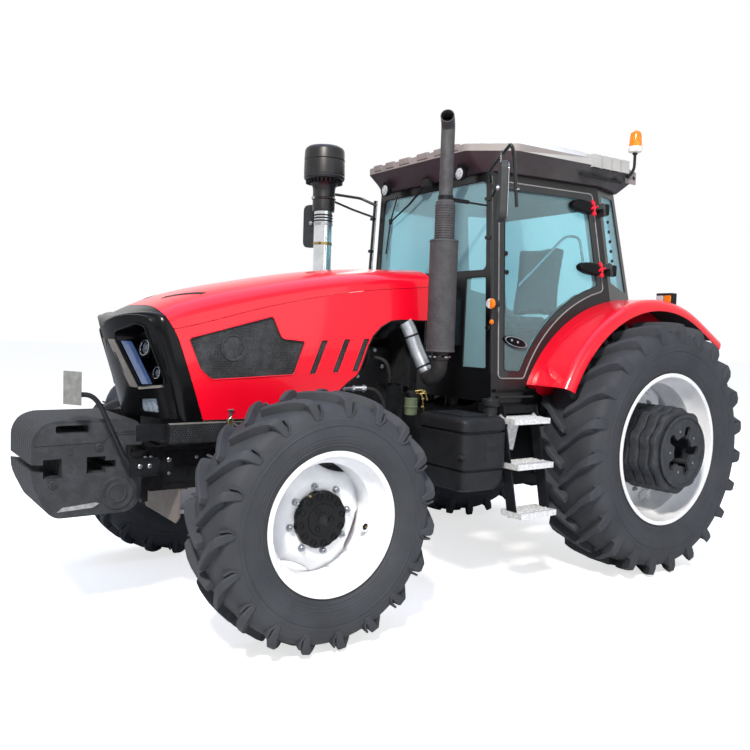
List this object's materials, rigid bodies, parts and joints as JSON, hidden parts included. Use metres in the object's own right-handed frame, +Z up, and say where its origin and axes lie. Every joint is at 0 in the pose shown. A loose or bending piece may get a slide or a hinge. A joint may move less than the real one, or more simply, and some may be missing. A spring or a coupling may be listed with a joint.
{
  "type": "farm tractor",
  "caption": "Four-wheel-drive farm tractor with red hood and fenders, glazed cab, nose ballast, wheel weights, steering axle, doors, lifting hood and rear linkage.",
  "frame": {"origin": "on the ground, at the middle of the whole tractor's plan box", "axes": "+Z up, the nose points to -Y, +X is the driver's left side"},
  "size_m": [2.5506, 4.8989, 3.036],
  "materials": {
    "amber": "amber lens",
    "black_paint": "satin black chassis paint",
    "cast_black": "black painted casting",
    "chrome": "bright chromed tube",
    "gloss_black": "gloss black moulded plastic",
    "guard_grey": "weathered grey plate",
    "lamp_clear": "clear lamp",
    "lamp_lens": "dark lamp housing behind a clear lens",
    "matte_black": "matte black plastic",
    "mesh_black": "dark perforated screen",
    "red_paint": "gloss red paint",
    "rim_silver": "silver-white wheel paint",
    "roof_grey": "light grey moulded roof",
    "seat_fabric": "dark woven seat cloth",
    "silver_pipe": "bare metal pipe",
    "tank_plastic": "grained dark grey plastic",
    "tinted_glass": "lightly tinted glass",
    "tread_steel": "galvanised steel",
    "tyre_rubber": "ribbed black tyre"
  },
  "bodies": {
    "chassis": {"beacon": "amber", "cab_frame": "black_paint", "cab_glass": "tinted_glass", "cab_roof": "roof_grey", "console": "matte_black", "drawbar": "black_paint", "engine": "black_paint", "exhaust_pipe": "silver_pipe", "exhaust_stack": "black_paint", "fender_left": "red_paint", "fender_right": "red_paint", "front_axle": "black_paint", "front_guard": "guard_grey", "front_support": "black_paint", "front_weights": "cast_black", "intake_tube": "chrome", "marker": "black_paint", "mirrors": "black_paint", "precleaner": "matte_black", "rear_axle": "black_paint", "rear_lamps": "lamp_clear", "roof_lamps": "lamp_clear", "seat": "seat_fabric", "seat_base": "matte_black", "side_screens": "mesh_black", "side_tanks": "tank_plastic", "steering_wheel": "matte_black", "steps": "tread_steel", "tank_brackets": "black_paint", "top_link": "black_paint", "transmission": "black_paint", "weight_carrier": "black_paint", "windshield": "tinted_glass"},
    "hood": {"hood_shell": "red_paint", "nose_cowl": "gloss_black", "hood_screens": "mesh_black", "headlamps": "lamp_lens"},
    "door_left": {"door_left": "black_paint", "door_glass_left": "tinted_glass"},
    "door_right": {"door_right": "black_paint", "door_glass_right": "tinted_glass"},
    "knuckle_left": {"knuckle_left": "black_paint"},
    "knuckle_right": {"knuckle_right": "black_paint"},
    "tie_rod": {"tie_rod": "black_paint"},
    "front_wheel_left": {"front_tyre_left": "tyre_rubber", "front_rim_left": "rim_silver", "front_hub_left": "black_paint"},
    "front_wheel_right": {"front_tyre_right": "tyre_rubber", "front_rim_right": "rim_silver", "front_hub_right": "black_paint"},
    "rear_wheel_left": {"rear_tyre_left": "tyre_rubber", "rear_rim_left": "rim_silver", "wheel_weights_left": "cast_black"},
    "rear_wheel_right": {"rear_tyre_right": "tyre_rubber", "rear_rim_right": "rim_silver", "wheel_weights_right": "cast_black"},
    "lower_links": {"lower_links": "black_paint"},
    "lift_arms": {"lift_arms": "black_paint"},
    "lift_rods": {"lift_rods": "black_paint"}
  },
  "joints": [
    {"name": "rear_left_spin", "type": "hinge", "parent": "chassis", "child": "rear_wheel_left", "pos_m": [0.955, 1.355, 0.85], "axis": [1, 0, 0], "continuous": true},
    {"name": "rear_right_spin", "type": "hinge", "parent": "chassis", "child": "rear_wheel_right", "pos_m": [-0.955, 1.355, 0.85], "axis": [1, 0, 0], "continuous": true},
    {"name": "front_left_spin", "type": "hinge", "parent": "knuckle_left", "child": "front_wheel_left", "pos_m": [0.975, -1.26, 0.64], "axis": [1, 0, 0], "continuous": true},
    {"name": "front_right_spin", "type": "hinge", "parent": "knuckle_right", "child": "front_wheel_right", "pos_m": [-0.975, -1.26, 0.64], "axis": [1, 0, 0], "continuous": true},
    {"name": "steer_left", "type": "hinge", "parent": "chassis", "child": "knuckle_left", "pos_m": [0.755, -1.26, 0.64], "axis": [0, 0, 1], "range_deg": [-35, 35]},
    {"name": "steer_right", "type": "hinge", "parent": "chassis", "child": "knuckle_right", "pos_m": [-0.755, -1.26, 0.64], "axis": [0, 0, 1], "range_deg": [-35, 35]},
    {"name": "tie_rod_turn", "type": "hinge", "parent": "knuckle_left", "child": "tie_rod", "pos_m": [0.755, -1.07, 0.5], "axis": [0, 0, 1], "range_deg": [-35, 35]},
    {"name": "hood_lift", "type": "hinge", "parent": "chassis", "child": "hood", "pos_m": [0, -0.19, 1.925], "axis": [-1, 0, 0], "range_deg": [0, 45]},
    {"name": "door_left_swing", "type": "hinge", "parent": "chassis", "child": "door_left", "pos_m": [0.78846, 1.14201, 2.0021], "axis": [-0.0795, -0.1484, 0.9857], "range_deg": [0, 70]},
    {"name": "door_right_swing", "type": "hinge", "parent": "chassis", "child": "door_right", "pos_m": [-0.78846, 1.14201, 2.0021], "axis": [-0.0795, 0.1484, -0.9857], "range_deg": [0, 70]},
    {"name": "link_lift", "type": "hinge", "parent": "chassis", "child": "lower_links", "pos_m": [0, 1.56, 0.56], "axis": [1, 0, 0], "range_deg": [-12, 30]},
    {"name": "arm_lift", "type": "hinge", "parent": "chassis", "child": "lift_arms", "pos_m": [0, 1.71, 1.04], "axis": [1, 0, 0], "range_deg": [-18, 45]},
    {"name": "rod_swing", "type": "hinge", "parent": "lift_arms", "child": "lift_rods", "pos_m": [0, 2.01, 1.04], "axis": [1, 0, 0], "range_deg": [-45, 18]}
  ],
  "couplings": [
    {"joint": "steer_right", "follows": "steer_left", "ratio": 1},
    {"joint": "tie_rod_turn", "follows": "steer_left", "ratio": -1},
    {"joint": "arm_lift", "follows": "link_lift", "ratio": 1.5},
    {"joint": "rod_swing", "follows": "link_lift", "ratio": -1.5}
  ]
}
